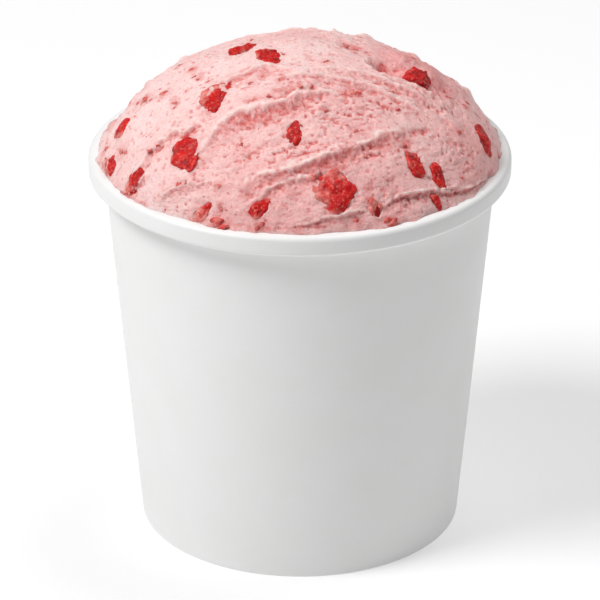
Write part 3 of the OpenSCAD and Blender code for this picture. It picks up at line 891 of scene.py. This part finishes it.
def cup():
    """The tapered paper wall with its rolled rim, a foot ring, and a side seam at the back."""
    low, shoulder = RIM_TOP - RIM_H, RIM_TOP - RIM_TOP_R
    left = wall_in(shoulder)

    # the foot ring, with the ledge that carries the base
    line = [(wall_in(BASE_LIFT), BASE_LIFT), (wall_out(BASE_LIFT) - FOOT_T, BASE_LIFT)]
    line += [(FOOT_R - FOOT_T, FOOT_ROUND)]
    line += arc(FOOT_R - FOOT_T + FOOT_ROUND, FOOT_ROUND, FOOT_ROUND, 180, 270)
    line += arc(FOOT_R - FOOT_ROUND, FOOT_ROUND, FOOT_ROUND, 270, 360)

    # up the outside, into the narrow groove under the rolled rim
    line += [(wall_out(z), z) for z in np.linspace(1, low - 0.5, OUTSIDE_STEPS)]
    line += [(wall_out(low) + 0.02, low + 0.1), (wall_out(low) + 0.1, low + 0.7)]
    line += [(wall_out(low) + 0.3, low + 0.6), (wall_out(low) + 0.6, low + 0.25)]

    # over the rolled rim and down the inside
    line += arc(RIM_R - RIM_LOW_R, low + RIM_LOW_R, RIM_LOW_R, 275, 360)
    line += arc(RIM_R - RIM_TOP_R, shoulder, RIM_TOP_R, 0, 90)
    line += arc(left + RIM_TOP_R, shoulder, RIM_TOP_R, 90, 180)
    line += [(wall_in(z), z) for z in np.linspace(shoulder - 1, BASE_LIFT + 1, INSIDE_STEPS)]
    line = np.array(line)

    # turned round the axis, with the seam's step and a slight unevenness of the wall
    turn = np.sort(np.append(np.arange(CUP_COUNT) * 360 / CUP_COUNT, SEAM_TURN + SEAM_WIDTH))
    past = (turn - SEAM_TURN) % 360
    step = SEAM_STEP * np.exp(-past / SEAM_FADE) * (past > 0)
    r, z = line[:, 0], line[:, 1]
    on_wall = smooth(0.2, 1.5, z) * (r > wall_in(z) + 0.25) * (1 - 0.45 * smooth(low - 0.5, low + 1, z))
    radii = r[None, :] + step[:, None] * on_wall[None, :]
    a = np.radians(turn)[:, None]
    heights = np.broadcast_to(z, radii.shape)
    points = np.stack([radii * np.cos(a), radii * np.sin(a), heights], 2).reshape(-1, 3)
    wobble = 0.05 * noise(points, 30, 81) * smooth(2, 20, points[:, 2])
    wobble *= 1 - smooth(low - 12, low, points[:, 2])
    points[:, :2] *= (1 + wobble / FOOT_R)[:, None]
    count = len(line)
    faces = []
    for i in range(len(turn)):
        for k in range(count):
            here, there = i * count, (i + 1) % len(turn) * count
            faces.append((here + k, there + k, there + (k + 1) % count, here + (k + 1) % count))
    return mesh_piece("cup", points, faces)


# ---- materials

def srgb(*c):
    """Linear colour from an 8-bit screen colour."""
    c = np.array(c) / 255
    return (*np.where(c <= 0.04045, c / 12.92, ((c + 0.055) / 1.055) ** 2.4), 1)


# Ice cream, each pair mixed by noise: where it is palest, and where it is pinkest, which is mostly
# painted shade. Then the tints of mottle, of painted shade in hollows, of juice with painted shade in
# pores, cracks and under folds, of specks and pin specks, and the whitening of frost spots, and of crests
# and lips as painted highlight
CREAM_PALE = (srgb(252, 219, 216), srgb(248, 208, 204))
CREAM_DEEP_AND_SHADE = (srgb(243, 181, 178), srgb(235, 167, 165))
MOTTLE = srgb(230, 146, 142)
HOLLOW_SHADE = srgb(216, 112, 108)
JUICE_AND_SHADE = srgb(212, 84, 80)
SPECK = srgb(190, 56, 66)
PIN_SPECK = srgb(206, 84, 90)
CREST_HIGHLIGHT_AND_FROST = srgb(255, 228, 223)
LIP_HIGHLIGHT = srgb(255, 228, 222)

# Strawberry: flesh, its brighter parts with painted highlight and its darker parts with painted shade,
# its grains with painted glints, and frost
FLESH = (srgb(170, 3, 7), srgb(216, 8, 9))
FLESH_BRIGHT_AND_HIGHLIGHT = srgb(236, 50, 36)
FLESH_DIP_SHADE = srgb(124, 2, 8)
GRAIN_AND_GLINT = srgb(246, 136, 116)
FRUIT_FROST = srgb(240, 158, 148)

# Paper and its fibres, and the floor
PAPER = (srgb(235, 235, 234), srgb(238, 238, 238))
FIBRE = srgb(223, 223, 222)
FLOOR = (srgb(210, 210, 210), srgb(214, 214, 214))


class Nodes:
    """A new material, and short ways to add and link its shader nodes."""

    def __init__(self, name):
        self.material = bpy.data.materials.new(name)
        self.material.use_nodes = True
        self.tree = self.material.node_tree
        self.shader = self.tree.nodes["Principled BSDF"]

    def add(self, kind, **values):
        node = self.tree.nodes.new(kind)
        for key, value in values.items():
            setattr(node, key, value)
        return node

    def link(self, a, b):
        self.tree.links.new(a, b)

    def feed(self, x, socket):
        """Links another node's output to the socket, or sets a plain value on it."""
        if isinstance(x, bpy.types.NodeSocket):
            self.link(x, socket)
        else:
            socket.default_value = x

    def value(self, name):
        """A number that the mesh stores for each point."""
        return self.add("ShaderNodeAttribute", attribute_name=name).outputs["Fac"]

    def math(self, operation, a, b=0.0, clamp=False):
        node = self.add("ShaderNodeMath", operation=operation, use_clamp=clamp)
        self.feed(a, node.inputs[0])
        self.feed(b, node.inputs[1])
        return node.outputs[0]

    def ramp(self, fac, low, high, to_low=0.0, to_high=1.0):
        """Maps low to to_low and high to to_high, and holds what lies outside."""
        node = self.add("ShaderNodeMapRange", clamp=True)
        self.link(fac, node.inputs["Value"])
        for key, x in (("From Min", low), ("From Max", high), ("To Min", to_low), ("To Max", to_high)):
            node.inputs[key].default_value = x
        return node.outputs["Result"]

    def noise(self, scale, detail=3.0, rough=0.55, offset=0.0):
        """Noise over the object, with its blobs about 1 / scale metres across."""
        place = self.add("ShaderNodeTexCoord").outputs["Object"]
        if offset:
            shift = self.add("ShaderNodeVectorMath", operation="ADD")
            self.link(place, shift.inputs[0])
            shift.inputs[1].default_value = (offset, offset, offset)
            place = shift.outputs[0]
        node = self.add("ShaderNodeTexNoise")
        self.link(place, node.inputs["Vector"])
        node.inputs["Scale"].default_value = scale
        node.inputs["Detail"].default_value = detail
        node.inputs["Roughness"].default_value = rough
        return node.outputs["Fac"]

    def mix(self, fac, a, b):
        node = self.add("ShaderNodeMix", data_type="RGBA")
        for key, x in (("Factor", fac), ("A", a), ("B", b)):
            self.feed(x, node.inputs[key])
        return node.outputs["Result"]

    def tint(self, colour, other, *shares):
        """Mixes another colour in by the product of the shares."""
        share = shares[0]
        for i, more in enumerate(shares[1:], 2):
            share = self.math("MULTIPLY", share, more, i == len(shares))
        return self.mix(share, colour, other)

    def bump(self, height, distance, strength=1.0):
        node = self.add("ShaderNodeBump")
        node.inputs["Distance"].default_value = distance
        node.inputs["Strength"].default_value = strength
        self.link(height, node.inputs["Height"])
        self.link(node.outputs["Normal"], self.shader.inputs["Normal"])

    def set(self, name, value):
        self.shader.inputs[name].default_value = value


def ice_cream_material():
    """Pale pink with fine red specks; deeper pink on the front and right, in pores and cracks, in hollows
    and under folds as painted shade, and whiter on crests and lips as painted highlight.
    """
    k = Nodes("ice_cream")
    cavity, fine, pink, shade, lip = (k.value(n) for n in ("cavity", "fine", "pink", "shade", "lip"))
    pale = k.mix(k.ramp(k.noise(140, 3, 0.6), 0.35, 0.7), *CREAM_PALE)
    deep = k.mix(k.ramp(k.noise(170, 3, 0.6, 1.0), 0.35, 0.7), *CREAM_DEEP_AND_SHADE)
    # painted shade: the deeper pink pair is mixed in by the shade value
    colour = k.mix(shade, pale, deep)
    mottle = k.noise(1500, 3, 0.6, 17.0)
    colour = k.tint(colour, MOTTLE, k.ramp(mottle, 0.5, 0.7, 0, 0.34))
    # painted shade: hollows and concave grain are tinted darker red
    hollow_shade = k.math("ADD", k.ramp(cavity, 0.03, 0.5, 0, 0.6), k.ramp(fine, 0.005, 0.1, 0, 0.6))
    colour = k.tint(colour, HOLLOW_SHADE, hollow_shade, 0.8)
    grain = k.ramp(k.noise(640, 3, 0.6, 3.0), 0.25, 0.65, 0.5, 1.15)
    # juice, and the painted shade in pores, cracks, under folds, round the pieces and at the rim, all
    # carried by the pink value
    colour = k.tint(colour, JUICE_AND_SHADE, pink, grain, 0.85)
    specks = k.ramp(k.noise(1250, 2, 0.5, 7.0), 0.67, 0.73)
    sparse = k.ramp(k.noise(260, 2, 0.5, 11.0), 0.42, 0.62, 0.1, 1.0)
    colour = k.tint(colour, SPECK, specks, sparse, 0.85)
    pin = k.ramp(k.noise(2300, 2, 0.5, 13.0), 0.6, 0.68)
    sparse = k.ramp(k.noise(190, 2, 0.5, 19.0), 0.4, 0.65, 0.1, 1.0)
    colour = k.tint(colour, PIN_SPECK, pin, sparse, 0.5)
    # painted highlight: convex crests are whitened; frost spots from the mottle are whitened with them
    frost = k.ramp(mottle, 0.47, 0.32, 0, 0.3)
    crest = k.math("ADD", k.ramp(cavity, -0.05, -0.5, 0, 0.12), k.ramp(fine, -0.01, -0.12, 0, 0.22), True)
    colour = k.tint(colour, CREST_HIGHLIGHT_AND_FROST, k.math("ADD", crest, frost, True))
    # painted highlight: the fold lips are whitened
    colour = k.tint(colour, LIP_HIGHLIGHT, lip, 0.7)
    k.link(colour, k.shader.inputs["Base Color"])
    k.link(k.ramp(k.noise(500, 3, 0.6, 5.0), 0.3, 0.7, 0.42, 0.62), k.shader.inputs["Roughness"])
    k.set("Subsurface Weight", 0.35)
    k.set("Subsurface Radius", (1.0, 0.45, 0.4))
    k.set("Subsurface Scale", 0.0012)
    k.set("IOR", 1.35)
    k.set("Specular IOR Level", 0.4)
    coarse = k.math("MULTIPLY", k.noise(1000, 2, 0.5, 2.0), 0.6)
    k.bump(k.math("ADD", k.noise(2100, 3, 0.65), coarse), 0.0003, 1.0)
    return k.material


def fruit_material():
    """Wet strawberry flesh: deep red, darker in the dips of its relief as painted shade and brighter on
    raised parts as painted highlight, with pale grains that also stand in for glints, and a frost of ice
    cream.
    """
    k = Nodes("fruit")
    relief, frost = k.value("relief"), k.value("frost")
    colour = k.mix(k.ramp(k.noise(420, 4, 0.6), 0.32, 0.66), *FLESH)
    raised = k.ramp(relief, -0.05, 0.3, 0.15, 1.0)
    bright = k.ramp(k.noise(260, 3, 0.6, 8.0), 0.5, 0.68)
    # brighter flesh in random patches, strongest on the raised parts of the relief as painted highlight
    colour = k.tint(colour, FLESH_BRIGHT_AND_HIGHLIGHT, bright, raised, 0.6)
    # painted shade: the dips of the relief are darker
    colour = k.tint(colour, FLESH_DIP_SHADE, k.ramp(relief, -0.08, -0.4, 0, 0.7))
    # pale grains, which also stand in for the fruit's glints as painted highlight
    grain_and_glint_dots = k.ramp(k.noise(1500, 2, 0.5, 4.0), 0.57, 0.68)
    colour = k.tint(colour, GRAIN_AND_GLINT, grain_and_glint_dots, 0.55)
    grains = k.ramp(k.noise(900, 3, 0.6, 9.0), 0.35, 0.62, 0.2, 1.0)
    colour = k.tint(colour, FRUIT_FROST, frost, grains, 0.95)
    k.link(colour, k.shader.inputs["Base Color"])
    k.link(k.ramp(k.noise(900, 3, 0.6, 6.0), 0.3, 0.7, 0.24, 0.5), k.shader.inputs["Roughness"])
    k.set("Subsurface Weight", 0.15)
    k.set("Subsurface Radius", (1.0, 0.2, 0.15))
    k.set("Subsurface Scale", 0.001)
    k.set("Specular IOR Level", 0.28)
    k.set("Coat Weight", 0.08)
    k.set("Coat Roughness", 0.2)
    k.bump(k.noise(1300, 3, 0.65), 0.0004, 1.0)
    return k.material


def paper_material():
    """White coated paperboard: faint fibre mottle, a soft satin coat."""
    k = Nodes("paper")
    colour = k.mix(k.ramp(k.noise(60, 5, 0.6), 0.3, 0.7), *PAPER)
    fibres = k.noise(900, 4, 0.65, 2.0)
    colour = k.tint(colour, FIBRE, k.ramp(fibres, 0.55, 0.75, 0, 0.12))
    k.link(colour, k.shader.inputs["Base Color"])
    k.link(k.ramp(fibres, 0.3, 0.7, 0.38, 0.5), k.shader.inputs["Roughness"])
    k.set("Specular IOR Level", 0.45)
    k.bump(fibres, 0.00003, 0.5)
    return k.material


# ---- the stage

# How much the floor glows, and half its width in millimetres
FLOOR_GLOW = 0.37
FLOOR_SIZE = 3000.0

# Strength of the even light from all round, and the lamps: place, size and power, in metres
# and watts
WORLD_LIGHT = 0.15
LAMPS = {
    "key": ((-0.75, -0.35, 1.15), 0.6, 14.1),
    "top": ((0.35, 0.25, 1.3), 0.7, 6.6),
    "right": ((1.0, 0.15, 0.45), 0.5, 0.4),
}

# The camera: what it looks at and its distance in metres, degrees above level, lens and
# sensor in millimetres
TARGET = Vector((0, 0, 0.05352))
DISTANCE = 1.097
ELEVATION = 25.55
LENS = 279.8
SENSOR = 36


def floor():
    """A pale floor that glows a little, so that its shadow stays faint."""
    material = Nodes("floor")
    tint = material.noise(6, 2)
    material.link(material.mix(tint, *FLOOR), material.shader.inputs["Base Color"])
    material.set("Roughness", 0.9)
    material.set("Specular IOR Level", 0.1)
    material.set("Emission Color", (1, 1, 1, 1))
    material.set("Emission Strength", FLOOR_GLOW)
    corners = [(FLOOR_SIZE * x, FLOOR_SIZE * y, 0) for x, y in ((-1, -1), (1, -1), (1, 1), (-1, 1))]
    plane = mesh_piece("floor", corners, [(0, 1, 2, 3)])
    plane.data.materials.append(material.material)


def area_light(name, place, size, power):
    """A round lamp that faces the object."""
    light = bpy.data.lights.new(name, "AREA")
    light.shape = "DISK"
    light.size = size
    light.energy = power
    lamp = bpy.data.objects.new(name, light)
    lamp.location = place
    lamp.rotation_euler = (TARGET - Vector(place)).to_track_quat("-Z", "Y").to_euler()
    bpy.context.scene.collection.objects.link(lamp)


def lights():
    """Even white light from all round, and the lamps."""
    world = bpy.data.worlds.new("studio")
    bpy.context.scene.world = world
    world.use_nodes = True
    background = world.node_tree.nodes["Background"].inputs
    background["Color"].default_value = (1, 1, 1, 1)
    background["Strength"].default_value = WORLD_LIGHT
    for name, (place, size, power) in LAMPS.items():
        area_light(name, place, size, power)


def camera():
    """A long lens, in front of the object and above it."""
    elevation = math.radians(ELEVATION)
    data = bpy.data.cameras.new("camera")
    data.sensor_width = SENSOR
    data.lens = LENS
    data.clip_start = 0.05
    eye = bpy.data.objects.new("camera", data)
    eye.location = TARGET + DISTANCE * Vector((0, -math.cos(elevation), math.sin(elevation)))
    eye.rotation_euler = (TARGET - eye.location).to_track_quat("-Z", "Y").to_euler()
    bpy.context.scene.collection.objects.link(eye)
    bpy.context.scene.camera = eye
    bpy.context.scene.view_settings.view_transform = "Standard"


# ---- put it together

camera()
lights()
floor()

cream, tree, surface, normals, bits, bit_sizes = ice_cream()
cream.data.materials.append(ice_cream_material())
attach(cream, "root")
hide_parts("ice_cream")

red = fruit_material()
for fruit in fruits:
    piece = strawberry(fruit)
    piece.data.materials.append(red)
    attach(piece, "root")
    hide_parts(fruit.name)
scraps = fruit_bits(bits, bit_sizes, tree, surface, normals)
scraps.data.materials.append(red)
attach(scraps, "root")

paper = paper_material()
wall = cup()
wall.data.materials.append(paper)
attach(wall, "root")
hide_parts("cup_wall")
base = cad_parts["cup_base"]
base.data.materials.clear()
base.data.materials.append(paper)
